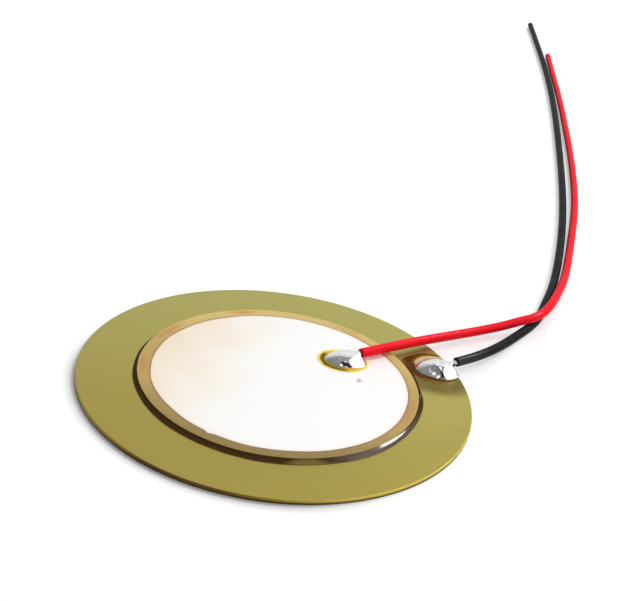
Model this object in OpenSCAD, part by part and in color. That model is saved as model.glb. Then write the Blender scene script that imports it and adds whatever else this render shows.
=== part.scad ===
// Piezo disc with two soldered leads.
// The origin is the centre of the brass plate's underside, and +Z points up through the ceramic.
// The plate lies on a table at z = 0, and so do the leads where nothing holds them up.

/* [Brass plate] */
// Diameter of the brass backing plate
plate_d = 35; // [35:0.5:45]
// Thickness of the brass sheet
plate_t = 0.4; // [0.25:0.05:0.6]
// Radius of the upper edge, rolled over by the blanking punch
plate_roll = 0.08; // [0.02:0.01:0.12]
// Part of the thickness that the punch sheared smooth, from the top down
sheared_share = 0.575; // [0.5:0.025:0.7]
// How far the broken band below it tapers in
break_taper = 0.012; // [0.002:0.002:0.03]
// Chamfer of the deburred lower edge
plate_deburr = 0.03; // [0.01:0.01:0.06]

/* [Ceramic disc] */
// Diameter of the piezo ceramic
ceramic_d = 25; // [20:0.1:25.4]
// Thickness of the piezo ceramic
ceramic_t = 0.24; // [0.16:0.01:0.4]
// Chamfer round both faces of the ceramic
ceramic_chamfer = 0.03; // [0.01:0.01:0.06]
// How far the ceramic was glued off centre, along X
ceramic_x = 0.2; // [-0.2:0.05:0.4]
// How far the ceramic was glued off centre, along Y
ceramic_y = 0.4; // [-0.2:0.05:0.5]

/* [Electrodes] */
// Thickness of each fired silver layer
silver_t = 0.01; // [0.006:0.001:0.02]
// Bare ceramic left round the upper electrode
silver_margin = 1.1; // [0.5:0.05:1.6]
// Print offset of the upper electrode on the ceramic, along X
print_x = 0.12; // [-0.3:0.02:0.3]
// Print offset of the upper electrode on the ceramic, along Y
print_y = -0.12; // [-0.3:0.02:0.3]

/* [Bond] */
// Thickness of the epoxy film under the ceramic
bond_t = 0.01; // [0.005:0.005:0.03]
// Mean reach of the squeezed-out bead past the ceramic's wall
bead_reach = 0.35; // [0.3:0.01:0.45]
// How far the bead is off the ceramic's centre: it reaches that much further on one side
bead_shift = 0.25; // [0:0.01:0.28]
// Direction from the ceramic's centre in which the bead reaches furthest
bead_azimuth = 275; // [0:5:360]
// Thickness of the bead's thin outer lip
bead_lip = 0.02; // [0.01:0.005:0.04]

/* [Solder joints] */
// Half length of the red joint's foot
red_half_length = 1.95; // [1.5:0.05:2.2]
// Half width of the red joint's foot
red_half_width = 1.4; // [1.1:0.05:1.7]
// Height of the red joint above the electrode
red_height = 0.84; // [0.76:0.02:1.2]
// Half length of the black joint's foot
black_half_length = 2.15; // [1.6:0.05:2.3]
// Half width of the black joint's foot
black_half_width = 1.4; // [1.2:0.05:1.8]
// Height of the black joint above the brass
black_height = 0.94; // [0.8:0.02:1.2]
// Bare brass left between the black joint and the plate's edge
rim_clearance = 0.05; // [0.02:0.01:0.3]
// How sharply the mounds turn over from their flat tops
mound_shoulder = 3.8; // [2:0.1:4.5]
// How far the solder feathers out where it wets its pad
mound_wetting = 1.2; // [1.1:0.05:1.8]
// How far the mounds' crests are drawn towards their leads
mound_lean = 0.35; // [0:0.05:0.6]

/* [Leads] */
// Outer diameter of the insulation
lead_d = 0.9; // [0.7:0.05:0.95]
// Diameter of the stranded conductor
wire_d = 0.48; // [0.3:0.02:0.56]
// Gap between each insulation's underside and its pad where it ends
lead_rise = 0.2; // [0.1:0.05:0.25]
// Gap that the insulation draws back from the solder as it cools
draw_back = 0.04; // [0.02:0.01:0.1]
// Gap between the two leads where the red one passes over the black one
crossing_gap = 0.04; // [0.02:0.01:0.1]

/* [Hidden] */
$fn = 96;

brass_colour = "#a99b57";
bond_colour = "#3d2c12";
ceramic_colour = "#c4a468";
silver_colour = "#f1efea";
solder_colour = "#b9bcc0";
copper_colour = "#d3d0ca";
red_colour = "#e0202f";
black_colour = "#23272a";

// Heights of the layers, from the table up.
film_top = plate_t + bond_t;
ceramic_bottom = film_top + silver_t;
ceramic_top = ceramic_bottom + ceramic_t;
stack_top = ceramic_top + silver_t;

ceramic_r = ceramic_d / 2;
silver_r = ceramic_r - silver_margin;
bead_r = ceramic_r + bead_reach;
bead_top = ceramic_top - ceramic_chamfer;

// Each pad is the face that a joint is soldered to.
red_pad = stack_top;
black_pad = plate_t;

// Middle of each joint's foot, and the direction of its long axis.
red_foot = [5.93, 5.2];
red_azimuth = 5;
black_foot = [14.45, 6.42];
black_azimuth = -8;

// A lead is an eight-sided tube with the section area of the round one.
SIDES = 8;
lead_ring_r = lead_d / 2 * sqrt(2 * PI / (SIDES * sin(360 / SIDES)));
wire_ring_r = lead_ring_r * wire_d / lead_d;

// Height of the red lead's underside where it passes over the black lead.
over = lead_d + crossing_gap;

// Routes of the insulation, from the joint to the cut end: X, Y and the height of the
// insulation's underside above the table. A height of 0 lies on the table.
RED_ROUTE = [
    [7.2, 5.85, red_pad + lead_rise], [9.9, 8, red_pad + 0.16], [12.7, 10.3, red_pad + 0.04],
    [15.5, 12.5, 0.55], [18.3, 14.6, 0.44], [20.8, 16.3, 0.53], [22.8, 17.5, over - 0.1],
    [24.3, 18.6, over], [25.5, 20.3, over], [26.6, 23, over - 0.14], [27.7, 26.7, 0.54],
    [28.8, 30.9, 0.28], [29.9, 36.8, 0.06], [30.9, 43, 0], [31.9, 49.5, 0], [32.7, 56, 0],
    [33.4, 64.3, 0], [34, 74, 0], [34.5, 86, 0], [34.9, 98, 0], [35.1, 110.5, 0],
    [35.3, 123, 0]
];
BLACK_ROUTE = [
    [16.15, 7.38, black_pad + lead_rise + 0.05], [17.5, 8.6, 0.6], [18.9, 10.2, 0.46],
    [20.2, 12, 0.28], [21.4, 13.9, 0.12], [22.6, 15.9, 0.02], [23.7, 17.7, 0],
    [24.6, 19.4, 0], [25.3, 21.2, 0], [26.2, 24.4, 0], [27.2, 28.2, 0], [28.1, 32.6, 0],
    [29, 38, 0], [30, 45.1, 0], [31, 54, 0], [31.9, 64.9, 0], [32.7, 77, 0],
    [33.4, 89.5, 0], [33.9, 102.5, 0], [34.1, 116, 0], [34, 129.5, 0], [33.8, 143, 0]
];

// Bare conductor inside each mound, from its buried end to the insulation: X, Y and the height
// of the conductor's axis above the pad.
RED_TAIL = [[5.2, 4.5, 0.34], [5.8, 4.9, 0.4], [6.45, 5.3, 0.52]];
BLACK_TAIL = [[13.9, 5.8, 0.34], [14.6, 6.25, 0.42], [15.3, 6.75, 0.56]];

// A direction of length 1.
function unit(v) = v / norm(v);

// A direction without its rise.
function flat(v) = [v.x, v.y];

// Direction of a path at its point i.
function heading(path, i) = unit(path[min(i + 1, len(path) - 1)] - path[max(i - 1, 0)]);

// Corners of one eight-sided ring, square to the path.
function ring(centre, along, r) =
    let(side = unit(cross(along, [0, 0, 1])), up = cross(side, along))
    [for (k = [0 : SIDES - 1])
        let(turn = (k + 0.5) * 360 / SIDES)
        centre + r * (cos(turn) * side + sin(turn) * up)];

// Corners of all the rings of a swept path, one after another.
function rings(path, r) = [for (i = [0 : len(path) - 1]) each ring(path[i], heading(path, i), r)];

// Triangles between neighbouring rings, whose corners start at first.
function wall(first, count, inward) = [
    for (i = [0 : count - 2], k = [0 : SIDES - 1])
        let(
            a = first + i * SIDES + k,
            b = first + i * SIDES + (k + 1) % SIDES,
            c = b + SIDES,
            d = a + SIDES
        )
        each inward ? [[a, c, b], [a, d, c]] : [[a, b, c], [a, c, d]]
];

// A point halfway between b and c, on the smooth curve through a, b, c and d.
function between(a, b, c, d) = (9 * (b + c) - a - d) / 16;

// A path with a smooth halfway point added to each of its spans.
function smooth(path) =
    let(last = len(path) - 1)
    [for (i = [0 : last])
        each i == last ? [path[i]] : [
            path[i],
            between(path[max(i - 1, 0)], path[i], path[i + 1], path[min(i + 2, last)])
        ]];

// Centreline of an insulation, from its route.
function centreline(route) = smooth([for (p = route) p + [0, 0, lead_d / 2]]);

// Rings of a conductor: those of its bare tail above the pad, then those of the bore that the
// insulation holds it in.
function conductor_rings(tail, pad, route) =
    let(
        bore_line = centreline(route),
        line = concat([for (p = tail) p + [0, 0, pad]], bore_line)
    )
    concat(
        [for (i = [0 : len(tail) - 1]) each ring(line[i], heading(line, i), wire_ring_r)],
        rings(bore_line, wire_ring_r)
    );

// Outline of a blanked disc's section. Its upper edge is rolled over, its side is straight as
// far as it was sheared and tapers in where it broke, and its lower edge is chamfered.
module plate_section(r, t, roll, deburr) {
    broken_r = r - break_taper;
    square([r - roll, t]);
    translate([r - roll, t - roll]) circle(roll);
    polygon([
        [0, 0], [broken_r - deburr, 0], [broken_r, deburr],
        [r, t * (1 - sheared_share)], [r, t - roll], [0, t - roll]
    ]);
}

// A disc with the same chamfer round both faces.
module chamfered_disc(r, t, chamfer) {
    rotate_extrude()
        polygon([
            [0, 0], [r - chamfer, 0], [r, chamfer],
            [r, t - chamfer], [r - chamfer, t], [0, t]
        ]);
}

// Places what was glued with the ceramic.
module on_ceramic_axis(z) {
    translate([ceramic_x, ceramic_y, z]) children();
}

// Section of the bonding epoxy from its middle outwards: a block that reaches past the ceramic's
// wall, hollowed by the arc of its meniscus.
module bond_section() {
    widest = bead_reach + bead_shift;
    fall = bead_top - plate_t - bead_lip;
    arc_r = (widest * widest + fall * fall) / (2 * fall);
    difference() {
        translate([0, plate_t]) square([bead_r, bead_top - plate_t]);
        translate([bead_r, plate_t + bead_lip + arc_r]) circle(arc_r);
    }
}

// A solder mound. Its rings run from the crest out to the foot, drawn towards the lead near
// the top, and its height falls from a flat crown through a shoulder to a feathered edge.
module mound(foot, pad, azimuth, half_length, half_width, height, tail) {
    spokes = 32;
    steps = 9;
    drawn = mound_lean * unit(flat(tail[len(tail) - 1] - tail[0]));
    crest_x = drawn.x * cos(azimuth) + drawn.y * sin(azimuth);
    crest_y = drawn.y * cos(azimuth) - drawn.x * sin(azimuth);
    function reach(turn) =
        let(
            oval = 1 / sqrt(pow(cos(turn) / half_length, 2) + pow(sin(turn) / half_width, 2)),
            uneven = 1 + 0.035 * sin(2 * turn + 50) + 0.025 * sin(3 * turn + 20)
        )
        oval * uneven;
    function rise(s) = height * pow(1 - pow(s, mound_shoulder), mound_wetting);
    shares = [for (i = [1 : steps]) sin(90 * i / steps)];
    skin = [
        for (s = shares, k = [0 : spokes - 1])
            let(turn = k * 360 / spokes)
            [
                crest_x * (1 - s) + s * reach(turn) * cos(turn),
                crest_y * (1 - s) + s * reach(turn) * sin(turn),
                rise(s)
            ]
    ];
    crest = steps * spokes;
    slopes = [
        for (i = [0 : steps - 2], k = [0 : spokes - 1])
            let(
                a = i * spokes + k,
                b = i * spokes + (k + 1) % spokes,
                c = b + spokes,
                d = a + spokes
            )
            each [[a, b, c], [a, c, d]]
    ];
    crown = [for (k = [0 : spokes - 1]) [crest, (k + 1) % spokes, k]];
    outer = (steps - 1) * spokes;
    sole = [for (k = [0 : spokes - 1]) [crest + 1, outer + k, outer + (k + 1) % spokes]];
    translate([foot.x, foot.y, pad])
        rotate([0, 0, azimuth])
            polyhedron(
                concat(skin, [[crest_x, crest_y, height], [0, 0, 0]]),
                concat(slopes, crown, sole)
            );
}

// A filled tube through rings of corners.
module rod(points) {
    count = len(points) / SIDES;
    start = [for (k = [SIDES - 1 : -1 : 0]) k];
    end = [for (k = [0 : SIDES - 1]) (count - 1) * SIDES + k];
    polyhedron(points, concat(wall(0, count, false), [start, end]));
}

// The insulation of one lead, bored for its conductor.
module insulation(route) {
    line = centreline(route);
    count = len(line);
    outer = rings(line, lead_ring_r);
    bore = rings(line, wire_ring_r);
    inner_start = len(outer);
    last_outer = (count - 1) * SIDES;
    start_face = [
        for (k = [0 : SIDES - 1])
            let(next = (k + 1) % SIDES)
            each [
                [k, inner_start + k, inner_start + next],
                [k, inner_start + next, next]
            ]
    ];
    end_face = [
        for (k = [0 : SIDES - 1])
            let(next = (k + 1) % SIDES)
            each [
                [last_outer + k, inner_start + last_outer + next, inner_start + last_outer + k],
                [last_outer + k, last_outer + next, inner_start + last_outer + next]
            ]
    ];
    polyhedron(
        concat(outer, bore),
        concat(wall(0, count, false), wall(inner_start, count, true), start_face, end_face)
    );
}

// The room that a lead's end takes up in its mound: the conductor, which the solder holds, and
// the insulation with the gap that it draws back to.
module lead_socket(tail, pad, route) {
    end_of_route = [for (i = [0 : 3]) route[i]];
    line = centreline(end_of_route);
    mouth = line[0] - draw_back * heading(line, 0);
    rod(conductor_rings(tail, pad, end_of_route));
    rod(rings([mouth, line[1], line[2], line[3]], lead_ring_r + draw_back));
}

// Blanked brass backing plate.
module brass_plate() {
    color(brass_colour)
        rotate_extrude()
            plate_section(plate_d / 2, plate_t, plate_roll, plate_deburr);
}

// Epoxy film under the ceramic, and the bead squeezed out round it. The ceramic and its lower
// electrode are cut out of one dish of epoxy, which leaves both.
module bond_layer() {
    color(bond_colour)
        on_ceramic_axis(0)
            difference() {
                rotate([0, 0, bead_azimuth])
                    translate([bead_shift, 0, 0])
                        rotate_extrude() bond_section();
                translate([0, 0, film_top]) cylinder(r = ceramic_r, h = ceramic_t);
            }
}

// Fired silver layer on the ceramic's underside.
module lower_electrode() {
    color(silver_colour)
        on_ceramic_axis(film_top)
            cylinder(r = ceramic_r, h = silver_t);
}

// Piezo ceramic.
module ceramic_disc() {
    color(ceramic_colour)
        on_ceramic_axis(ceramic_bottom)
            chamfered_disc(ceramic_r, ceramic_t, ceramic_chamfer);
}

// Silver layer printed on the ceramic's upper face.
module upper_electrode() {
    color(silver_colour)
        on_ceramic_axis(ceramic_top)
            translate([print_x, print_y, 0])
                cylinder(r = silver_r, h = silver_t);
}

// Solder mound on the electrode, moulded round the red lead's end.
module red_solder_joint() {
    color(solder_colour)
        difference() {
            mound(red_foot, red_pad, red_azimuth, red_half_length, red_half_width,
                  red_height, RED_TAIL);
            lead_socket(RED_TAIL, red_pad, RED_ROUTE);
        }
}

// Solder mound on the brass, stopped by the plate's edge, round the black lead's end.
module black_solder_joint() {
    color(solder_colour)
        difference() {
            intersection() {
                mound(black_foot, black_pad, black_azimuth, black_half_length,
                      black_half_width, black_height, BLACK_TAIL);
                cylinder(r = plate_d / 2 - plate_roll - rim_clearance, h = 3 * black_height);
            }
            lead_socket(BLACK_TAIL, black_pad, BLACK_ROUTE);
        }
}

// Red insulation.
module red_lead_insulation() {
    color(red_colour) insulation(RED_ROUTE);
}

// Conductor of the red lead.
module red_lead_conductor() {
    color(copper_colour) rod(conductor_rings(RED_TAIL, red_pad, RED_ROUTE));
}

// Black insulation.
module black_lead_insulation() {
    color(black_colour) insulation(BLACK_ROUTE);
}

// Conductor of the black lead.
module black_lead_conductor() {
    color(copper_colour) rod(conductor_rings(BLACK_TAIL, black_pad, BLACK_ROUTE));
}

brass_plate();
bond_layer();
lower_electrode();
ceramic_disc();
upper_electrode();
red_solder_joint();
black_solder_joint();
red_lead_insulation();
red_lead_conductor();
black_lead_insulation();
black_lead_conductor();
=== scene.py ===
# %% [markdown]
# # A piezo disc with two soldered leads
#
# A piezo disc is a thin brass plate with a thinner disc of piezo ceramic glued on it. A silver
# layer on the ceramic takes one lead, and the brass itself takes the other. This lesson starts
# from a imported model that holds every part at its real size, and gives each part its true
# surface: smooth turned edges, hand-made solder, flux stains, twisted strands and soft PVC.
#
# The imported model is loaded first, because every later size and place comes from it.

# %% Load the frame
import math

import bpy
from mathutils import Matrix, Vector


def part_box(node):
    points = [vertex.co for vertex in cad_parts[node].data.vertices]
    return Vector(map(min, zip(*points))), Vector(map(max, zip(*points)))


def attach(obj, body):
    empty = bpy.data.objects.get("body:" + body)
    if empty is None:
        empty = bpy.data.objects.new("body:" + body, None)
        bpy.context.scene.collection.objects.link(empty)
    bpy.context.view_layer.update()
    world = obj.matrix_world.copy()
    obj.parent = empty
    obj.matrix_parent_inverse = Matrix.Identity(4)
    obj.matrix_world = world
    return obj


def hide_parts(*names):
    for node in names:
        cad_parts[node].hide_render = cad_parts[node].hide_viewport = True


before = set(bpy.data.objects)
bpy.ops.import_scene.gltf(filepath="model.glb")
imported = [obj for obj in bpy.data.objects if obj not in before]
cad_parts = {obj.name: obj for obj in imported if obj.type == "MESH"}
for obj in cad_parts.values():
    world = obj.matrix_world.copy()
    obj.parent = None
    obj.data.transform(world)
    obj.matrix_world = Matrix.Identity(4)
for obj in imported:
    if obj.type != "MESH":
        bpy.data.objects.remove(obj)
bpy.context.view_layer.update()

MM = 0.001
BODY = "root"

scene = bpy.context.scene
print("parts in the frame:", ", ".join(sorted(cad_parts)))

# %% [markdown]
# ## The camera
#
# The disc is looked at from low down and close by, so its far side is clearly smaller than its
# near side, which a long lens from far away would not give. The camera leans a little to one
# side, as one held in the hand does. Its three directions are worked out as vectors, because a
# turned Euler angle is hard to read back.

# %% Camera
LOOK_DOWN = math.radians(26.78)
LEAN = math.radians(8.847)
CAMERA_DISTANCE = 114.874 * MM
CAMERA_SIDEWAYS = 3.702 * MM
CAMERA_UPWARDS = 7.506 * MM
LENS_MM = 73.70
SENSOR_MM = 36

back = Vector((0, -math.cos(LOOK_DOWN), math.sin(LOOK_DOWN)))
level = Vector((1, 0, 0))
upright = back.cross(level)
across = math.cos(LEAN) * level + math.sin(LEAN) * upright
above = back.cross(across)
eye = back * CAMERA_DISTANCE + across * CAMERA_SIDEWAYS + above * CAMERA_UPWARDS

camera_data = bpy.data.cameras.new("camera")
camera_data.lens = LENS_MM
camera_data.sensor_width = SENSOR_MM
camera_data.sensor_fit = "HORIZONTAL"
camera_data.clip_start = MM
camera = bpy.data.objects.new("camera", camera_data)
for column, direction in enumerate((across, above, back)):
    for row in range(3):
        camera.matrix_world[row][column] = direction[row]
camera.matrix_world.translation = eye
scene.collection.objects.link(camera)
scene.camera = camera
print("camera at", [round(value / MM, 2) for value in eye], "mm")

# %% [markdown]
# ## The brass plate
#
# The plate is blanked from rolled sheet in one stroke. The punch draws the upper edge over into
# a small round and shears the side smooth for about half its depth, and below that the sheet
# breaks, which leaves a rougher band set back a little. It could be a turned profile, but a
# cylinder whose edges are bevelled by different amounts is the quicker way to the same form.
# A ring is inset in each flat face, so that the smooth shading of the round stays out of it.

# %% Helpers for round plates
DISC_SEGMENTS = 256
SHADING_RING = 0.05 * MM
# Two places this near count as one, and a face whose normal is this upright counts as flat.
SAME_PLACE = 1e-7
FLAT = 0.999
SELECT_MODES = {"polygons": "FACE", "edges": "EDGE", "vertices": "VERT"}


def select_only(piece):
    bpy.ops.object.select_all(action="DESELECT")
    piece.select_set(True)
    bpy.context.view_layer.objects.active = piece


def measure_disc(node):
    """Radius of a round node, the middle of its upper face, and its lowest and highest Z."""
    low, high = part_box(node)
    radius = (high.x - low.x) / 2
    return radius, Vector((low.x + radius, (low.y + high.y) / 2, high.z)), low.z, high.z


def add_disc(name, node):
    """A cylinder with the size and place of a round node, in edit mode."""
    radius, middle, bottom, top = measure_disc(node)
    middle.z = (bottom + top) / 2
    bpy.ops.mesh.primitive_cylinder_add(
        vertices=DISC_SEGMENTS, radius=radius, depth=top - bottom, location=middle,
    )
    piece = bpy.context.object
    piece.name = piece.data.name = name
    bpy.ops.object.transform_apply()
    bpy.ops.object.mode_set(mode="EDIT")
    return piece


def select_where(piece, elements, test):
    """Selects the polygons, edges or vertices that pass the test, in edit mode."""
    bpy.ops.mesh.select_mode(type=SELECT_MODES[elements])
    bpy.ops.mesh.select_all(action="DESELECT")
    bpy.ops.object.mode_set(mode="OBJECT")
    for element in getattr(piece.data, elements):
        element.select = test(element)
    bpy.ops.object.mode_set(mode="EDIT")


def bevel_rim(piece, height, offset, segments):
    """Bevels the circle of edges at one height."""
    corners = piece.data.vertices

    def on_rim(edge):
        return all(abs(corners[i].co.z - height) < SAME_PLACE for i in edge.vertices)

    select_where(piece, "edges", on_rim)
    bpy.ops.mesh.bevel(offset=offset, segments=segments, affect="EDGES")


def inset_face(piece, direction):
    """Insets a ring in the big flat face that points up (1) or down (-1)."""
    select_where(piece, "polygons", lambda face: face.normal.z * direction > FLAT)
    bpy.ops.mesh.inset(thickness=SHADING_RING)


def complete(piece, slot, *nodes, smooth_angle=40):
    """Turns the faces outwards, smooths the shading and gives the piece to the frame."""
    bpy.ops.object.mode_set(mode="OBJECT")
    select_only(piece)
    bpy.ops.object.mode_set(mode="EDIT")
    bpy.ops.mesh.select_all(action="SELECT")
    bpy.ops.mesh.normals_make_consistent(inside=False)
    bpy.ops.object.mode_set(mode="OBJECT")
    bpy.ops.object.shade_smooth_by_angle(angle=math.radians(smooth_angle))
    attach(piece, BODY)
    if nodes:
        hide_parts(*nodes)
    print(piece.name, len(piece.data.polygons), "faces")


# %% Brass plate
PLATE_ROLL = 0.08 * MM
ROLL_STEPS = 6
PLATE_DEBURR = 0.03 * MM
BREAK_HEIGHT = 0.17 * MM
BREAK_DEPTH = 0.012 * MM

plate = add_disc("brass_backing_plate", "brass_plate")
plate_r, _, plate_bottom, plate_top = measure_disc("brass_plate")
bpy.ops.mesh.select_all(action="SELECT")
bpy.ops.mesh.bisect(plane_co=(0, 0, BREAK_HEIGHT), plane_no=(0, 0, 1))
bevel_rim(plate, plate_top, PLATE_ROLL, ROLL_STEPS)
bevel_rim(plate, plate_bottom, PLATE_DEBURR, 1)
select_where(plate, "vertices", lambda corner: corner.co.z < BREAK_HEIGHT - PLATE_DEBURR)
share = 1 - BREAK_DEPTH / plate_r
bpy.ops.transform.resize(value=(share, share, 1), center_override=(0, 0, 0))
inset_face(plate, 1)
inset_face(plate, -1)
complete(plate, "brass", "brass_plate")

# %% [markdown]
# ## The brass finish
#
# Rolled brass is satin: it mirrors the light around it, but softly, and fine lines from the
# rolls run across it one way. Its colour is painted darker towards the front and lighter
# towards the back, as painted shading broken up in patches several millimetres wide, and
# darker still in front of the black joint, as a painted shadow and mirror image of the joint.
# The edge that the punch sheared is rough and dark below. Above that its side is painted lit
# brass at the front right and at the left, and shaded brown elsewhere, as painted light and
# shade, and at the left the dark break below is painted lighter too.
#
# The colour is mixed by a slow noise, the lines are a noise stretched along the rolling
# direction, and the edge is found by its distance from the middle. All of it follows the object's
# own coordinates, so no mark slides with the camera. A few helpers keep these node trees short,
# and every later finish uses them too.

# %% Helpers for finishes
def plug(tree, value, socket):
    """Gives a socket a fixed value, or links it to another node's output."""
    if isinstance(value, bpy.types.NodeSocket):
        tree.links.new(value, socket)
    else:
        socket.default_value = value


def add(tree, kind, inputs, **settings):
    """A new shader node. Inputs are named or numbered sockets, and settings are its own choices."""
    node = tree.nodes.new("ShaderNode" + kind)
    for name, value in settings.items():
        setattr(node, name, value)
    for name, value in inputs.items():
        plug(tree, value, node.inputs[name])
    return node


def maths(tree, operation, *values):
    """One step of arithmetic on numbers or outputs."""
    return add(tree, "Math", dict(enumerate(values)), operation=operation).outputs[0]


def new_finish(name):
    """A material, its node tree, its main shader and the object's own coordinates."""
    material = bpy.data.materials.new(name)
    material.use_nodes = True
    tree = material.node_tree
    place = add(tree, "TexCoord", {}).outputs["Object"]
    return material, tree, tree.nodes["Principled BSDF"], place


# %% Helpers for patterns
def noise(tree, place, size, detail=3):
    """Noise whose patches are about size metres wide."""
    node = add(tree, "TexNoise", {"Vector": place, "Scale": 1 / size, "Detail": detail})
    return node.outputs["Fac"]


def grain(tree, place, azimuth, length, width):
    """Noise drawn out into fine lines that run towards an azimuth."""
    drawn = add(tree, "Mapping", {"Vector": place, "Rotation": (0, 0, -math.radians(azimuth)),
                                  "Scale": (1 / length, 1 / width, 1 / width)}).outputs[0]
    return noise(tree, drawn, 1)


def between(tree, value, low, high, to_low=0.0, to_high=1.0):
    """A smooth change from one number to another while value goes from low to high."""
    return add(tree, "MapRange", {"Value": value, "From Min": low, "From Max": high,
                                  "To Min": to_low, "To Max": to_high},
               interpolation_type="SMOOTHSTEP").outputs[0]


def mix(tree, factor, first, second):
    """The first colour where the factor is 0, and the second where it is 1."""
    return add(tree, "Mix", {0: factor, 6: first, 7: second}, data_type="RGBA").outputs[2]


def bump(tree, shader, height, depth, strength):
    """Raises the surface by up to depth metres, on top of what the shader already has."""
    node = add(tree, "Bump", {"Height": height, "Distance": depth, "Strength": strength})
    if shader.inputs["Normal"].is_linked:
        plug(tree, shader.inputs["Normal"].links[0].from_socket, node.inputs["Normal"])
    plug(tree, node.outputs[0], shader.inputs["Normal"])


def roughen(tree, shader, pattern, smoothest, roughest):
    """Roughness that follows a pattern of noise."""
    plug(tree, between(tree, pattern, 0.3, 0.7, smoothest, roughest), shader.inputs["Roughness"])


# %% Helpers for places
def outwards(azimuth):
    return Vector((math.cos(math.radians(azimuth)), math.sin(math.radians(azimuth)), 0))


def along(tree, vector, direction):
    """The part of a vector that points in a direction."""
    both = {0: vector, 1: direction}
    return add(tree, "VectorMath", both, operation="DOT_PRODUCT").outputs["Value"]


def towards(tree, place, azimuth):
    """How far a place lies from the plate's middle, measured towards an azimuth."""
    return along(tree, place, outwards(azimuth))


def height_of(tree, place):
    return add(tree, "SeparateXYZ", {0: place}).outputs["Z"]


def off_centre(tree, place, centre, half_length=1.0, half_width=1.0, azimuth=0.0):
    """Distance from a centre across the plate. With half sizes, 1 is an oval's outline."""
    local = add(tree, "Mapping", {"Vector": place, "Location": (centre[0], centre[1], 0),
                                  "Rotation": (0, 0, math.radians(azimuth)),
                                  "Scale": (half_length, half_width, 1e6)}, vector_type="TEXTURE")
    return add(tree, "VectorMath", {0: local.outputs[0]}, operation="LENGTH").outputs["Value"]


def dress(material, *pieces):
    """Gives a finish to pieces, whether they already have a material or not."""
    for piece in pieces:
        if piece.material_slots:
            piece.material_slots[0].material = material
        else:
            piece.data.materials.append(material)
    print(material.name, "on", ", ".join(piece.name for piece in pieces))


# %% Brass finish
BRASS_SHADED_FRONT = (0.373, 0.304, 0.064, 1)
BRASS_LIT_BACK = (0.42, 0.385, 0.106, 1)
BRASS_SHEARED = (0.16, 0.11, 0.035, 1)
BRASS_SIDE_SHADED = (0.19, 0.095, 0.03, 1)
BRASS_SIDE_LIT = (0.55, 0.42, 0.08, 1)
LIT_RIGHT_AZIMUTH = -40
LIT_LEFT_AZIMUTH = 185
ROLLING_AZIMUTH = 32
BRASS_JOINT_SHADOW = (0.155, 0.11, 0.016, 1)
JOINT_SHADOW_MIDDLE = (14.5 * MM, 4.2 * MM)

brass, tree, shader, place = new_finish("rolled_brass")
patches = noise(tree, place, 9 * MM, 4)
# Painted shading: the brass is darker towards the front and lighter towards the back, broken up by
# patches.
front_to_back_and_patches = maths(tree, "ADD", towards(tree, place, 90), maths(tree, "MULTIPLY", patches, 16 * MM))
lit_towards_back = between(tree, front_to_back_and_patches, -8 * MM, 24 * MM)
colour = mix(tree, lit_towards_back, BRASS_SHADED_FRONT, BRASS_LIT_BACK)
fine_lines = grain(tree, place, ROLLING_AZIMUTH, 4 * MM, 0.06 * MM)
colour = mix(tree, between(tree, fine_lines, 0.35, 0.8, 0, 0.12), colour, BRASS_SHEARED)
# Painted shadow and mirror image of the black joint, darkening the brass in front of it.
joint_shadow = off_centre(tree, place, JOINT_SHADOW_MIDDLE, 3 * MM, 2 * MM)
colour = mix(tree, between(tree, joint_shadow, 1.4, 0.6, 0, 0.9), colour, BRASS_JOINT_SHADOW)
from_middle = off_centre(tree, place, (0, 0))
on_side = between(tree, from_middle, plate_r - 0.04 * MM, plate_r - 0.01 * MM)
# Painted light and shade on the plate's side: lit brass at the front right and the left, shaded
# brown elsewhere. At the left the dark break is painted lighter too.
lit_right = between(tree, towards(tree, place, LIT_RIGHT_AZIMUTH), 8 * MM, 17 * MM)
lit_left = between(tree, towards(tree, place, LIT_LEFT_AZIMUTH), 9 * MM, 16 * MM)
side = mix(tree, lit_left, mix(tree, lit_right, BRASS_SIDE_SHADED, BRASS_SIDE_LIT), BRASS_SIDE_LIT)
colour = mix(tree, on_side, colour, side)
low_down = between(tree, height_of(tree, place),
                   BREAK_HEIGHT + 0.09 * MM, BREAK_HEIGHT - 0.02 * MM)
broken = maths(tree, "MULTIPLY", on_side, low_down)
break_unlit = maths(tree, "SUBTRACT", 1, maths(tree, "MULTIPLY", lit_left, 0.7))
colour = mix(tree, maths(tree, "MULTIPLY", broken, break_unlit), colour, BRASS_SHEARED)
plug(tree, colour, shader.inputs["Base Color"])
shader.inputs["Metallic"].default_value = 1
satin = between(tree, patches, 0.3, 0.7, 0.4, 0.46)
roughness = maths(tree, "ADD", satin, maths(tree, "MULTIPLY", broken, 0.3))
plug(tree, roughness, shader.inputs["Roughness"])
bump(tree, shader, fine_lines, 0.0006 * MM, 0.5)
bump(tree, shader, noise(tree, place, 0.05 * MM), 0.01 * MM, 0.15)
dress(brass, plate)

# %% [markdown]
# ## The ceramic and its silver
#
# The ceramic is pressed and fired, then lapped flat, which leaves a fine chamfer round both
# faces. It is made the same way as the plate.
#
# The silver on top is printed through a screen as a paste and fired on. It is far thinner than a
# hair, and its outline is slightly ragged, with one nib where the paste caught on the screen.
# Such an outline is quickest one pull at a time: the rim is pulled in and out a little with
# proportional editing, which lets the corners beside the pulled one follow.

# %% Ceramic and electrode
CERAMIC_CHAMFER = 0.03 * MM
SILVER_EDGE = 0.004 * MM
NIB_AZIMUTH = 245
NIB_LENGTH = 0.2
NIB_REACH = 0.5
# Azimuth in degrees and shift in millimetres of each pull on the silver's rim.
SILVER_PULLS = ((200, 0.05), (222, -0.06), (262, 0.05), (283, -0.04), (318, 0.04), (350, -0.03),
                (20, 0.04), (52, -0.04), (88, 0.03), (121, -0.05), (160, 0.04))
SILVER_PULL_REACH = 2.4


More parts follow.
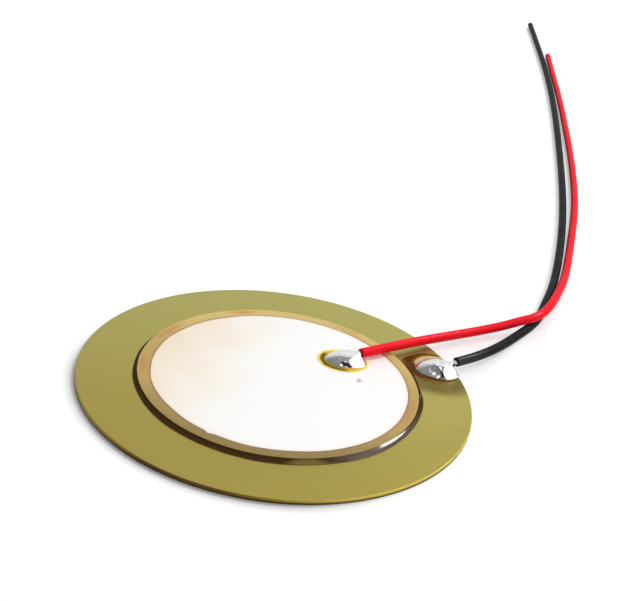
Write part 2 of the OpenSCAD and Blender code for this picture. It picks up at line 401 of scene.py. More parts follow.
def pull(piece, place, shift, reach):
    """Moves the corner nearest to a place, and those within reach of it less and less."""
    bpy.ops.object.mode_set(mode="OBJECT")
    nearest = min((corner.co - place).length for corner in piece.data.vertices)
    bpy.ops.object.mode_set(mode="EDIT")
    reached = nearest + SAME_PLACE
    select_where(piece, "vertices", lambda corner: (corner.co - place).length < reached)
    bpy.ops.transform.translate(
        value=shift, use_proportional_edit=True,
        proportional_edit_falloff="SMOOTH", proportional_size=reach,
    )


def pull_rim(piece, centre, radius, pulls, reach):
    """Pulls a round rim out or in at several azimuths, by millimetres."""
    for azimuth, length in pulls:
        direction = outwards(azimuth)
        pull(piece, centre + direction * radius, direction * length * MM, reach * MM)


ceramic = add_disc("piezo_ceramic", "ceramic_disc")
ceramic_r, ceramic_middle, ceramic_bottom, ceramic_top = measure_disc("ceramic_disc")
bevel_rim(ceramic, ceramic_top, CERAMIC_CHAMFER, 2)
bevel_rim(ceramic, ceramic_bottom, CERAMIC_CHAMFER, 1)
inset_face(ceramic, 1)
complete(ceramic, "ceramic", "ceramic_disc")

silver = add_disc("silver_electrode", "upper_electrode")
silver_r, silver_middle, _, silver_top = measure_disc("upper_electrode")
pull_rim(silver, silver_middle, silver_r, SILVER_PULLS, SILVER_PULL_REACH)
pull_rim(silver, silver_middle, silver_r, [(NIB_AZIMUTH, NIB_LENGTH)], NIB_REACH)
bevel_rim(silver, silver_top, SILVER_EDGE, 2)
inset_face(silver, 1)
complete(silver, "silver", "upper_electrode")

# %% [markdown]
# ## Ceramic and silver finishes
#
# Fired piezo ceramic is a dull tan, a little more orange in a few marks where resin soaked in.
# It is painted darker towards the front, as painted shade, and it is paler towards the back.
# Its grain is fine and matt. A soft brown line runs just outside the silver's edge.
#
# The silver is matt and nearly white, because the fired grains scatter light, with the faint
# weave of the screen in it. It yellows slightly towards its left side, and it has one small
# grey speck, a grain of solder dross. Each mark is a mask by distance from its own middle.

# %% Ceramic finish
CERAMIC_TAN = (0.49, 0.33, 0.1, 1)
CERAMIC_PALE = (0.635, 0.475, 0.165, 1)
CERAMIC_ORANGE = (0.5, 0.17, 0.035, 1)
CERAMIC_SHADE_AND_SPECKS = (0.275, 0.195, 0.06, 1)
PRINT_EDGE_BROWN = (0.3, 0.16, 0.12, 1)
PALE_AZIMUTH = 85
# Azimuth in degrees, half length in millimetres and strength of each orange mark on the rim.
ORANGE_MARKS = ((113, 1.7, 0.6), (153, 2.6, 0.5), (186, 2, 0.4), (348, 3, 0.35), (63, 2, 0.3))

tan, tree, shader, place = new_finish("fired_ceramic")
cloudy = noise(tree, place, 3 * MM, 4)
clouds = maths(tree, "MULTIPLY", cloudy, 5 * MM)
# Painted shade: the ceramic is darker towards the front. It is paler towards the back.
towards_back_and_clouds = maths(tree, "ADD", towards(tree, place, PALE_AZIMUTH), clouds)
colour = mix(tree, between(tree, towards_back_and_clouds, 2 * MM, 13 * MM), CERAMIC_TAN, CERAMIC_PALE)
colour = mix(tree, between(tree, towards_back_and_clouds, 0, -9 * MM), colour, CERAMIC_SHADE_AND_SPECKS)
for azimuth, half_length, strength in ORANGE_MARKS:
    mark = ceramic_middle + outwards(azimuth) * (ceramic_r - 0.5 * MM)
    distance = off_centre(tree, place, mark, 0.45 * MM, half_length * MM, azimuth)
    faded = maths(tree, "ADD", distance, maths(tree, "MULTIPLY", cloudy, 0.5))
    colour = mix(tree, between(tree, faded, 1.4, 0.4, 0, strength), colour, CERAMIC_ORANGE)
# A soft brown line just outside the silver's edge, with a wavering width.
line_wobble = maths(tree, "MULTIPLY", cloudy, 0.3 * MM)
from_print = maths(tree, "ADD", off_centre(tree, place, silver_middle), line_wobble)
edge_line = between(tree, from_print, silver_r + 0.5 * MM, silver_r + 0.15 * MM, 0, 0.7)
colour = mix(tree, edge_line, colour, PRINT_EDGE_BROWN)
speckle = noise(tree, place, 0.07 * MM, 2)
colour = mix(tree, between(tree, speckle, 0.6, 0.75, 0, 0.3), colour, CERAMIC_SHADE_AND_SPECKS)
plug(tree, colour, shader.inputs["Base Color"])
roughen(tree, shader, cloudy, 0.5, 0.62)
shader.inputs["Specular IOR Level"].default_value = 0.2
bump(tree, shader, speckle, 0.004 * MM, 0.5)
dress(tan, ceramic)

# %% Silver finish
SILVER_WHITE = (0.925, 0.915, 0.905, 1)
SILVER_CREAM = (0.85, 0.73, 0.55, 1)
CREAM_AZIMUTH = 165
DROSS_GREY = (0.42, 0.4, 0.36, 1)
DROSS_SPOT = (7.27 * MM, 1.95 * MM)
MESH_PITCH = 0.11 * MM

fired_silver, tree, shader, place = new_finish("fired_silver")
patches = noise(tree, place, 4 * MM, 4)
drift = maths(tree, "SUBTRACT", towards(tree, place, CREAM_AZIMUTH),
              maths(tree, "MULTIPLY", patches, 7 * MM))
colour = mix(tree, between(tree, drift, -3 * MM, 9 * MM), SILVER_WHITE, SILVER_CREAM)
edge = between(tree, off_centre(tree, place, silver_middle), silver_r - 0.45 * MM, silver_r, 0, 0.4)
colour = mix(tree, edge, colour, SILVER_CREAM)
grains = between(tree, noise(tree, place, 0.12 * MM, 2), 0.55, 0.75, 0, 0.25)
colour = mix(tree, grains, colour, SILVER_CREAM)
weave = add(tree, "TexVoronoi", {"Vector": place, "Scale": 1 / MESH_PITCH}).outputs["Distance"]
near_dross = off_centre(tree, place, DROSS_SPOT, 0.26 * MM, 0.4 * MM)
ragged = maths(tree, "ADD", near_dross, noise(tree, place, 0.15 * MM))
colour = mix(tree, between(tree, ragged, 1.9, 0.7, 0, 0.9), colour, DROSS_GREY)
plug(tree, colour, shader.inputs["Base Color"])
shader.inputs["Metallic"].default_value = 0.15
roughen(tree, shader, patches, 0.5, 0.6)
bump(tree, shader, weave, 0.002 * MM, 0.3)
bump(tree, shader, noise(tree, place, 0.04 * MM, 2), 0.004 * MM, 0.4)
dress(fired_silver, silver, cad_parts["lower_electrode"])

# %% [markdown]
# ## The bead of epoxy
#
# The ceramic is pressed into wet epoxy, and what squeezes out sets as a glossy dark bead round
# it. The ceramic was pressed down a little on one side, so the bead is broad there and thin on
# the other. Its section is a meniscus: it climbs the ceramic's wall and runs out thin on the
# brass. One ring of edges makes it all. It is extruded again and again, each time a little
# smaller and higher, then down the wall, and the last ring is bridged to the first. The outer
# edge is pulled uneven, with the rings on the wall hidden, because what is hidden stays
# put. The same two functions build the solder and the flux later.

# %% Bead
BEAD_REACH = 0.35 * MM
BEAD_SHIFT = 0.25 * MM
BEAD_AZIMUTH = 275
BEAD_LIP = 0.035 * MM
BEAD_CURL = 0.2
BEAD_STEPS = 9
BEAD_PULL_REACH = 2.5
# Azimuth in degrees and shift in millimetres of each pull on the bead's outer edge.
BEAD_PULLS = ((160, -0.05), (182, -0.03), (207, -0.02), (226, 0.03), (247, -0.02), (268, 0.03),
              (291, -0.03), (312, 0.04), (334, -0.02), (0, 0.08), (22, 0.12), (60, -0.03))


def add_ring(name, centre, half_length, half_width, azimuth, corners):
    """An oval ring of edges, in edit mode with all of it selected."""
    bpy.ops.mesh.primitive_circle_add(vertices=corners, radius=half_length, location=centre,
                                      rotation=(0, 0, math.radians(azimuth)))
    piece = bpy.context.object
    piece.name = piece.data.name = name
    piece.scale.y = half_width / half_length
    bpy.ops.object.transform_apply()
    bpy.ops.object.mode_set(mode="EDIT")
    bpy.ops.mesh.select_all(action="SELECT")
    return piece


def extrude_rings(centre, crest, profile):
    """Extrudes the selected ring once for each further share of its size and height above it.

    The rings move over by crest on their way in, so that the middle ends up off centre.
    """
    for (share, height), (next_share, next_height) in zip(profile, profile[1:]):
        bpy.ops.mesh.extrude_edges_move()
        scale = next_share / share
        middle = centre + (1 - share) * crest
        bpy.ops.transform.resize(value=(scale, scale, 1), center_override=middle)
        step = (share - next_share) * crest + Vector((0, 0, next_height - height))
        bpy.ops.transform.translate(value=step)


def select_open_edges():
    bpy.ops.mesh.select_all(action="DESELECT")
    bpy.ops.mesh.select_mode(type="EDGE")
    bpy.ops.mesh.select_non_manifold()


bead_r = ceramic_r + BEAD_REACH
bead_middle = ceramic_middle + outwards(BEAD_AZIMUTH) * BEAD_SHIFT
bead_middle.z = plate_top
wall_share = ceramic_r / bead_r
bead_top = ceramic_top - CERAMIC_CHAMFER - plate_top
bead_profile = [(1, 0)]
for i in range(BEAD_STEPS + 1):
    climb = i / BEAD_STEPS
    rise = (1 - BEAD_CURL) * climb + BEAD_CURL * climb ** 4
    bead_profile.append((1 + climb * (wall_share - 1), BEAD_LIP + (bead_top - BEAD_LIP) * rise))
bead_profile.append((wall_share, 0))
to_ceramic = (ceramic_middle - bead_middle) / (1 - wall_share)
to_ceramic.z = 0

bead = add_ring("epoxy_bead", bead_middle, bead_r, bead_r, 0, DISC_SEGMENTS)
extrude_rings(bead_middle, to_ceramic, bead_profile)
select_open_edges()
bpy.ops.mesh.bridge_edge_loops()
on_wall = ceramic_r + SAME_PLACE
select_where(bead, "vertices", lambda corner: (corner.co - ceramic_middle).xy.length < on_wall)
bpy.ops.mesh.hide()
pull_rim(bead, bead_middle, bead_r, BEAD_PULLS, BEAD_PULL_REACH)
bpy.ops.mesh.reveal(select=False)
complete(bead, "epoxy", "bond_layer")

# %% [markdown]
# ## The epoxy finish
#
# The epoxy is nearly black where it is thick and amber where it runs out thin. One patch at the
# front is painted paler, as a painted highlight. Its gloss is a clear coat over a body with none
# of its own. The coat is strong only at the front right, because gloss all round would mirror the
# white room and turn the dark body grey. The PVC and the flux get a thin coat too.

# %% Epoxy finish
EPOXY_DARK = (0.046, 0.022, 0.002, 1)
EPOXY_AMBER = (0.13, 0.09, 0.02, 1)
EPOXY_PAINTED_HIGHLIGHT = (0.17, 0.12, 0.035, 1)
HIGHLIGHT_AZIMUTH = 286
GLOSSY_AZIMUTH = -38


def coat_gloss(tree, shader, weight, roughness):
    """Takes the body's own gloss away and lays a clear coat over it."""
    shader.inputs["Specular IOR Level"].default_value = 0
    plug(tree, weight, shader.inputs["Coat Weight"])
    shader.inputs["Coat Roughness"].default_value = roughness


epoxy, tree, shader, place = new_finish("dark_epoxy")
uneven = maths(tree, "MULTIPLY", noise(tree, place, 1.2 * MM), 0.05 * MM)
depth = maths(tree, "ADD", height_of(tree, place), uneven)
thin = between(tree, depth, plate_top + 0.09 * MM, plate_top + 0.04 * MM)
colour = mix(tree, thin, EPOXY_DARK, EPOXY_AMBER)
# A painted highlight: a paler patch on the bead at the front.
highlight_middle = ceramic_middle + outwards(HIGHLIGHT_AZIMUTH) * (ceramic_r + 0.5 * MM)
highlight_patch = off_centre(tree, place, highlight_middle, 0.5 * MM, 1.7 * MM, HIGHLIGHT_AZIMUTH)
colour = mix(tree, between(tree, highlight_patch, 1.4, 0.5), colour, EPOXY_PAINTED_HIGHLIGHT)
plug(tree, colour, shader.inputs["Base Color"])
roughen(tree, shader, noise(tree, place, 0.6 * MM), 0.4, 0.5)
glossy = between(tree, towards(tree, place, GLOSSY_AZIMUTH), 10.5 * MM, 12.5 * MM, 0.15, 0.8)
coat_gloss(tree, shader, glossy, 0.1)
bump(tree, shader, noise(tree, place, 1.1 * MM, 2), 0.05 * MM, 0.3)
dress(epoxy, bead)

# %% [markdown]
# ## Where the leads run
#
# Each lead is a thin limp wire that was soldered at one end and cut at the other. It leaves its
# joint a little above the plate, comes down over the edge, and lies on the table in one long
# curve. The red one passes over the black one once, in a low hump.
#
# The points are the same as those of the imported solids: X, Y and the height of the underside,
# in millimetres. A smooth line is drawn through them by adding a point halfway along each span,
# again and again. The new point leans on two neighbours on each side, so the line has no corner.

# %% Routes of the leads
LEAD_R = 0.45 * MM
RED_ROUTE = [
    (7.2, 5.85, 0.87), (9.9, 8, 0.83), (12.7, 10.3, 0.71), (15.5, 12.5, 0.55),
    (18.3, 14.6, 0.44), (20.8, 16.3, 0.53), (22.8, 17.5, 0.84), (24.3, 18.6, 0.94),
    (25.5, 20.3, 0.94), (26.6, 23, 0.8), (27.7, 26.7, 0.54), (28.8, 30.9, 0.28),
    (29.9, 36.8, 0.06), (30.9, 43, 0), (31.9, 49.5, 0), (32.7, 56, 0), (33.4, 64.3, 0),
    (34, 74, 0), (34.5, 86, 0), (34.9, 98, 0), (35.1, 110.5, 0), (35.3, 123, 0),
]
BLACK_ROUTE = [
    (16.15, 7.38, 0.65), (17.5, 8.6, 0.6), (18.9, 10.2, 0.46), (20.2, 12, 0.28),
    (21.4, 13.9, 0.12), (22.6, 15.9, 0.02), (23.7, 17.7, 0), (24.6, 19.4, 0),
    (25.3, 21.2, 0), (26.2, 24.4, 0), (27.2, 28.2, 0), (28.1, 32.6, 0), (29, 38, 0),
    (30, 45.1, 0), (31, 54, 0), (31.9, 64.9, 0), (32.7, 77, 0), (33.4, 89.5, 0),
    (33.9, 102.5, 0), (34.1, 116, 0), (34, 129.5, 0), (33.8, 143, 0),
]
# Bare strands inside each joint: X, Y and the height of their middle above the table.
RED_TAIL = [(5.2, 4.5, 1.01), (5.8, 4.9, 1.07), (6.45, 5.3, 1.19)]
BLACK_TAIL = [(13.9, 5.8, 0.74), (14.6, 6.25, 0.82), (15.3, 6.75, 0.96)]
LEAD_ROUNDS = 3


def smooth(line, rounds):
    """The line with a smooth point added halfway along each span, rounds times over."""
    for _ in range(rounds):
        longer = []
        last = len(line) - 1
        for i in range(last):
            before, after = line[max(i - 1, 0)], line[min(i + 2, last)]
            longer += [line[i], (9 * (line[i] + line[i + 1]) - before - after) / 16]
        line = longer + [line[last]]
    return line


def line_length(line):
    return sum((b - a).length for a, b in zip(line, line[1:]))


def lead_line(route, tail=()):
    """Middle line of a lead in metres, with its bare tail in front if it is given."""
    bare = [Vector(point) * MM for point in tail]
    return bare + [Vector(point) * MM + Vector((0, 0, LEAD_R)) for point in route]


red_line = smooth(lead_line(RED_ROUTE), LEAD_ROUNDS)
black_line = smooth(lead_line(BLACK_ROUTE), LEAD_ROUNDS)
for name, line in (("red", red_line), ("black", black_line)):
    print(name, "lead:", round(line_length(line) / MM, 1), "mm long")

# %% [markdown]
# ## The insulation
#
# The PVC is a soft tube that was squeezed out round the strands, so it is perfectly even along
# its length. A curve with a round bevel gives just that. It is then made a mesh, because a curve
# cannot be hollow at its ends, and on a real lead the cut end shows a ring of plastic with the
# strands inside. Each open end is extruded three times: a little over the rounded rim, across
# the cut, and back along the bore, which is closed at its bottom.

# %% Insulation of the leads
TUBE_SIDES = 24
BORE_R = 0.25 * MM
BORE_DEPTH = 1.2 * MM
CUT_ROUNDING = 0.05 * MM
END_REACH = 1.01 * LEAD_R


def sweep(name, lines, radius, sides):
    """Round tubes along one or more lines, as one mesh that is open at its ends."""
    curve = bpy.data.curves.new(name, "CURVE")
    curve.dimensions = "3D"
    curve.bevel_depth = radius
    curve.bevel_resolution = sides // 2 - 2
    for line in lines:
        spline = curve.splines.new("POLY")
        spline.points.add(len(line) - 1)
        for point, place in zip(spline.points, line):
            point.co = (*place, 1)
    piece = bpy.data.objects.new(name, curve)
    scene.collection.objects.link(piece)
    select_only(piece)
    bpy.ops.object.convert(target="MESH")
    return bpy.context.object


def hollow_end(piece, end, inwards):
    """Turns the open end of a tube into a cut ring with the bore behind it."""
    select_only(piece)
    bpy.ops.object.mode_set(mode="EDIT")
    select_where(piece, "vertices", lambda corner: (corner.co - end).length < END_REACH)
    bpy.ops.mesh.extrude_edges_move()
    share = 1 - CUT_ROUNDING / LEAD_R
    bpy.ops.transform.resize(value=(share,) * 3, center_override=end)
    bpy.ops.transform.translate(value=-inwards * CUT_ROUNDING / 3)
    bpy.ops.mesh.extrude_edges_move()
    bpy.ops.transform.resize(value=(BORE_R / LEAD_R / share,) * 3, center_override=end)
    bpy.ops.mesh.extrude_edges_move(TRANSFORM_OT_translate={"value": inwards * BORE_DEPTH})
    bpy.ops.mesh.edge_face_add()
    bpy.ops.object.mode_set(mode="OBJECT")


def insulation(name, line, node, slot):
    tube = sweep(name, [line], LEAD_R, TUBE_SIDES)
    hollow_end(tube, line[0], (line[1] - line[0]).normalized())
    hollow_end(tube, line[-1], (line[-2] - line[-1]).normalized())
    complete(tube, slot, node, smooth_angle=50)
    return tube


red_insulation = insulation("red_insulation", red_line, "red_lead_insulation", "red_pvc")
black_insulation = insulation("black_insulation", black_line, "black_lead_insulation", "black_pvc")

# %% [markdown]
# ## The strands
#
# Inside the insulation are seven tinned copper strands, one in the middle and six twisted round
# it. They show at the cut ends and where they run into the solder. Each outer strand is a curve
# that winds round the lead's line, and the six differ only in where they start.

# %% Strands of the leads
STRAND_R = 0.08 * MM
STRAND_SIDES = 6
STRAND_ROUNDS = 4
TWIST_LENGTH = 9 * MM


def strand_line(line, start_angle):
    """A line that winds round another one, a strand's width away from it."""
    wound, run = [], 0
    for i, place in enumerate(line):
        ahead = (line[min(i + 1, len(line) - 1)] - line[max(i - 1, 0)]).normalized()
        side = ahead.cross(Vector((0, 0, 1))).normalized()
        lift = side.cross(ahead)
        turn = start_angle + 2 * math.pi * run / TWIST_LENGTH
        wound.append(place + 2 * STRAND_R * (math.cos(turn) * side + math.sin(turn) * lift))
        run += (line[min(i + 1, len(line) - 1)] - place).length
    return wound


def strands(name, tail, route, node):
    middle = smooth(lead_line(route, tail), STRAND_ROUNDS)
    around = [strand_line(middle, math.radians(angle)) for angle in range(0, 360, 60)]
    bundle = sweep(name, [middle, *around], STRAND_R, STRAND_SIDES)
    select_only(bundle)
    bpy.ops.object.mode_set(mode="EDIT")
    select_open_edges()
    bpy.ops.mesh.edge_face_add()
    complete(bundle, "tinned_copper", node, smooth_angle=50)
    return bundle


red_strands = strands("red_strands", RED_TAIL, RED_ROUTE, "red_lead_conductor")
black_strands = strands("black_strands", BLACK_TAIL, BLACK_ROUTE, "black_lead_conductor")

# %% [markdown]

# %% [markdown]
# ## PVC and copper finishes
#
# PVC comes out of its die soft-glossy, with very faint ripples along its length, and it is never
# quite even in colour. Near the plate the black one is lighter. The curve gave the tubes a UV map
# that runs along and around them, so the ripples follow every bend. The strands are copper with a
# thin coat of tin: grey and bright, with the copper showing through in places.

# %% Finishes of the leads
RED_PVC = (0.97, 0.01, 0.025, 1)
RED_PVC_DEEP = (0.88, 0.006, 0.016, 1)
BLACK_PVC = (0.007, 0.009, 0.012, 1)
BLACK_PVC_DUSTY = (0.018, 0.022, 0.024, 1)
BLACK_PVC_NEAR_PLATE = (0.045, 0.05, 0.045, 1)
NEAR_PLATE_FADES = (17 * MM, 23 * MM)
TIN_GREY = (0.7, 0.69, 0.67, 1)
COPPER = (0.72, 0.36, 0.2, 1)
RIPPLES = (40, 30, 1)


def pvc_finish(name, plain, uneven, piece, near_plate=None):
    """Soft PVC of two shades, and a third colour near the plate if one is given."""
    material, tree, shader, place = new_finish(name)
    blotches = noise(tree, place, 1.6 * MM, 3)
    colour = mix(tree, between(tree, blotches, 0.35, 0.75), plain, uneven)
    if near_plate:
        # A lighter colour near the plate, fading out between these two distances from the middle.
        clear = between(tree, off_centre(tree, place, (0, 0)), *NEAR_PLATE_FADES)
        colour = mix(tree, clear, near_plate, colour)
    plug(tree, colour, shader.inputs["Base Color"])
    roughen(tree, shader, blotches, 0.3, 0.4)
    coat_gloss(tree, shader, 0.17, 0.18)
    surface = add(tree, "TexCoord", {}).outputs["UV"]
    drawn = add(tree, "Mapping", {"Vector": surface, "Scale": RIPPLES}).outputs[0]
    bump(tree, shader, noise(tree, drawn, 1, 2), 0.006 * MM, 0.4)
    bump(tree, shader, noise(tree, place, 0.25 * MM), 0.004 * MM, 0.3)
    dress(material, piece)


pvc_finish("red_pvc_finish", RED_PVC, RED_PVC_DEEP, red_insulation)
pvc_finish("black_pvc_finish", BLACK_PVC, BLACK_PVC_DUSTY, black_insulation, BLACK_PVC_NEAR_PLATE)

tinned, tree, shader, place = new_finish("tinned_strands")
worn = between(tree, noise(tree, place, 0.3 * MM, 3), 0.5, 0.75, 0, 0.5)
plug(tree, mix(tree, worn, TIN_GREY, COPPER), shader.inputs["Base Color"])
shader.inputs["Metallic"].default_value = 1
roughen(tree, shader, noise(tree, place, 0.1 * MM), 0.25, 0.4)
bump(tree, shader, noise(tree, place, 0.05 * MM), 0.004 * MM, 0.4)
dress(tinned, red_strands, black_strands)

# %% [markdown]
# ## The solder joints
#
# Each lead is tacked down by hand with one drop of solder. The drop wets its pad out to a thin
# feathered edge, stands up steeply, and is pulled over towards the lead as it freezes, with the
# strands in it. Where the iron left, the skin folds into a crease. Both drops are built like the
# bead: an oval ring of edges at the foot is raised into rings of less and less size. Their
# heights follow one formula, so a drop is described by how sharply it turns over at its shoulder
# and how softly it runs out. What the hand did to it is then done here too, one pull at a time:
# corners are pulled with proportional editing, first round the foot and then along the crease.

# %% Sizes of the joints
RED_FOOT = (5.93, 5.2)
RED_AZIMUTH = 5
RED_HALF_SIZES = (1.95, 1.4)
RED_HEIGHT = 0.84 * MM
BLACK_FOOT = (14.45, 6.42)
BLACK_AZIMUTH = -8
BLACK_HALF_SIZES = (2.15, 1.4)
BLACK_HEIGHT = 0.94 * MM
# Azimuth in degrees and shift in millimetres of each pull on a foot.
RED_PULLS = ((145, 0.12), (185, 0.06), (220, 0.05), (275, 0.05), (330, 0.08), (40, -0.05))
BLACK_PULLS = ((24, -0.36), (50, -0.2), (0, -0.06), (150, 0.12), (215, 0.16), (255, 0.1),
               (300, 0.1))
# Each crease is a wide hollow and, beside it, a narrow lip that makes its far wall steep. The
# black one ends in a small lump at the foot. In millimetres: X, Y and Z of each place, how far
# the skin is drawn there, and the reach.
RED_CREASE = (
    ((5.7, 4.0, 0.85), (0.04, 0.08, -0.08), 0.36),
    ((6.2, 3.92, 0.75), (0.02, 0.08, -0.04), 0.3),
    ((5.75, 4.27, 1.03), (-0.01, -0.06, 0.05), 0.22),
    ((6.3, 4.12, 0.9), (-0.01, -0.06, 0.05), 0.22),
)
BLACK_CREASE = (
    ((13.85, 5.55, 0.9), (0.06, 0.08, -0.08), 0.42),
    ((14.25, 5.3, 0.75), (0.06, 0.12, -0.09), 0.42),
    ((14.7, 5.1, 0.6), (0.03, 0.1, -0.06), 0.4),
    ((14.13, 6.0, 1.15), (-0.02, -0.07, 0.05), 0.24),
    ((14.48, 5.7, 1.0), (-0.02, -0.08, 0.06), 0.24),
    ((14.9, 5.4, 0.8), (-0.02, -0.07, 0.05), 0.24),
    ((15, 5.15, 0.3), (0.02, -0.28, 0.1), 0.35),
)
# Place on each drop where its neck begins, how far it is drawn along the strands, and the reach.
RED_NECK = ((6.9, 5.65, 1.2), (0.3, 0.22, 0.06), 0.5)
BLACK_NECK = ((15.6, 7, 1), (0.42, 0.3, 0.1), 0.55)

# %% Helpers for drops
SOLDER_CORNERS = 120
SOLDER_RINGS = 28
SOLDER_SHOULDER = 3.1
SOLDER_WETTING = 1.2
PULL_REACH = 1.1


def millimetres(x, y, z=0):
    return Vector((x, y, z)) * MM


def solder_profile(height):
    """Share and height of each ring, from the foot to the crown."""
    profile = []
    for i in range(SOLDER_RINGS, 0, -1):
        share = math.sin(math.pi / 2 * i / SOLDER_RINGS)
        profile.append((share, height * (1 - share ** SOLDER_SHOULDER) ** SOLDER_WETTING))
    return profile


def close_both_ends():
    """Closes the selected top ring with a fan of faces, and the open foot with one face."""
    bpy.ops.mesh.edge_face_add()
    bpy.ops.mesh.poke()
    select_open_edges()
    bpy.ops.mesh.edge_face_add()


def pull_oval(piece, middle, half_sizes, azimuth, pulls):
    """Pulls the outline of an oval foot out or in at several azimuths, by millimetres."""
    for angle, length in pulls:
        turn = math.radians(angle - azimuth)
        radius = MM / math.hypot(math.cos(turn) / half_sizes[0], math.sin(turn) / half_sizes[1])
        direction = outwards(angle)
        pull(piece, middle + direction * radius, direction * length * MM, PULL_REACH * MM)


def print_reach(piece):
    furthest = max(corner.co.xy.length for corner in piece.data.vertices)
    print(piece.name, "reaches", round(furthest / MM, 2), "mm from the plate's middle")


# %% Solder joints
SOLDER_LEAN = 0.45 * MM


def solder_drop(name, node, foot, pad, azimuth, half_sizes, height, tail, pulls, crease, neck):
    middle = millimetres(*foot)
    middle.z = pad
    crest = millimetres(*tail[-1]) - millimetres(*tail[0])
    crest.z = 0
    crest = crest.normalized() * SOLDER_LEAN
    drop = add_ring(name, middle, half_sizes[0] * MM, half_sizes[1] * MM, azimuth, SOLDER_CORNERS)
    extrude_rings(middle, crest, solder_profile(height))
    close_both_ends()
    pull_oval(drop, middle, half_sizes, azimuth, pulls)
    for place, shift, reach in (*crease, neck):
        pull(drop, millimetres(*place), millimetres(*shift), reach * MM)
    complete(drop, "solder", node, smooth_angle=60)
    print_reach(drop)
    return drop


red_solder = solder_drop(
    "red_solder", "red_solder_joint", RED_FOOT, silver_top, RED_AZIMUTH, RED_HALF_SIZES,
    RED_HEIGHT, RED_TAIL, RED_PULLS, RED_CREASE, RED_NECK,
)
black_solder = solder_drop(
    "black_solder", "black_solder_joint", BLACK_FOOT, plate_top, BLACK_AZIMUTH, BLACK_HALF_SIZES,
    BLACK_HEIGHT, BLACK_TAIL, BLACK_PULLS, BLACK_CREASE, BLACK_NECK,
)

# %% [markdown]
# ## The solder finish
#
# Fresh tin solder is bright and mirror-like, so its look comes almost wholly from its form and
# the lights. Only where it froze last is it faintly frosted. Its folds are painted dark: painted
# shade in the creases, and burnt flux in the lump at the black one's foot. A low bump makes its
# reflections waver.

# %% Solder finish
SOLDER_BRIGHT = (0.8, 0.81, 0.83, 1)
SOLDER_FROSTED = (0.62, 0.63, 0.66, 1)
FOLD_SHADE_AND_FLUX = (0.03, 0.02, 0.012, 1)
# Middle, half length, half width and azimuth of the dark paint in each fold: painted shade in the
# creases, burnt flux at the lump.
SHADED_FOLDS = (((6.05, 4.02), 0.6, 0.09, -8), ((14.57, 5.55), 0.95, 0.06, -44),
         ((15.05, 4.95), 0.36, 0.2, -35))

tin, tree, shader, place = new_finish("bright_solder")
frost = between(tree, noise(tree, place, 0.5 * MM, 4), 0.45, 0.7)
colour = mix(tree, frost, SOLDER_BRIGHT, SOLDER_FROSTED)
for middle, half_length, half_width, azimuth in SHADED_FOLDS:
    distance = off_centre(tree, place, millimetres(*middle),
                          half_length * MM, half_width * MM, azimuth)
    colour = mix(tree, between(tree, distance, 1.3, 0.7, 0, 0.9), colour, FOLD_SHADE_AND_FLUX)
plug(tree, colour, shader.inputs["Base Color"])
shader.inputs["Metallic"].default_value = 1
plug(tree, between(tree, frost, 0, 1, 0.15, 0.24), shader.inputs["Roughness"])
bump(tree, shader, noise(tree, place, 0.6 * MM, 2), 0.04 * MM, 0.3)
bump(tree, shader, noise(tree, place, 0.07 * MM, 3), 0.002 * MM, 0.3)
dress(tin, red_solder, black_solder)

# %% [markdown]
# ## The flux
#
# Flux boils out of the solder wire and dries round each joint as a glossy amber film, dark brown
# where it was burnt and pale yellow where it runs out. Round the black joint the brown at the
# front is painted shade as well as burnt flux, and a cream band at the back is a painted
# reflection. It has a raised rim like a dried drop of coffee. The film is one more low drop under
# the solder, wider than it, and cut off straight where it comes near the plate's rim. Its colour
# follows its distance from the middle. At the outline it mostly takes the colour of the pad
# below, so it seems to thin away.

# %% Flux films
FLUX_PROFILE = ((1, 0), (0.995, 0.008), (0.97, 0.03), (0.94, 0.04), (0.9, 0.035), (0.84, 0.028),
                (0.78, 0.03), (0.7, 0.045), (0.6, 0.06))
RED_FLUX = (5.68, 5.05)
RED_FLUX_SIZES = (2.47, 2.14)
RED_FLUX_PULLS = ((95, 0.1), (150, 0.14), (215, -0.04), (300, 0.06), (345, -0.1), (30, -0.15))
BLACK_FLUX = (13.95, 6.8)
BLACK_FLUX_SIZES = (2.85, 2.65)
BLACK_FLUX_PULLS = ((92, 0.05), (135, -0.1), (178, 0.1), (235, -0.3), (280, -0.3))
FLUX_STOP = 17.2 * MM
CUT_TOLERANCE = 0.001 * MM


def flux_film(name, spot, pad, half_sizes, pulls):
    middle = millimetres(*spot)
    middle.z = pad
    film = add_ring(name, middle, half_sizes[0] * MM, half_sizes[1] * MM, 0, SOLDER_CORNERS)
    extrude_rings(middle, Vector(), [(share, height * MM) for share, height in FLUX_PROFILE])
    close_both_ends()
    pull_oval(film, middle, half_sizes, 0, pulls)
    bpy.ops.mesh.select_all(action="SELECT")
    towards_rim = middle.xy.normalized().to_3d()
    bpy.ops.mesh.bisect(plane_co=towards_rim * FLUX_STOP, plane_no=towards_rim, use_fill=True,
                        clear_outer=True, threshold=CUT_TOLERANCE)
    complete(film, "epoxy", smooth_angle=60)
    print_reach(film)
    return film


red_flux = flux_film("red_flux", RED_FLUX, silver_top, RED_FLUX_SIZES, RED_FLUX_PULLS)
black_flux = flux_film("black_flux", BLACK_FLUX, plate_top, BLACK_FLUX_SIZES, BLACK_FLUX_PULLS)

# %% Flux finishes
FLUX_DARK_AND_SHADE = (0.1, 0.033, 0.003, 1)
FLUX_BROWN = (0.19, 0.1, 0.003, 1)
FLUX_OLIVE = (0.28, 0.21, 0.045, 1)
FLUX_AMBER = (0.64, 0.38, 0.035, 1)
FLUX_YELLOW = (0.82, 0.6, 0.08, 1)
FLUX_PALE = (0.93, 0.86, 0.4, 1)
FLUX_PAINTED_REFLECTION = (0.62, 0.45, 0.24, 1)
FLUX_HONEY = (0.35, 0.2, 0.03, 1)
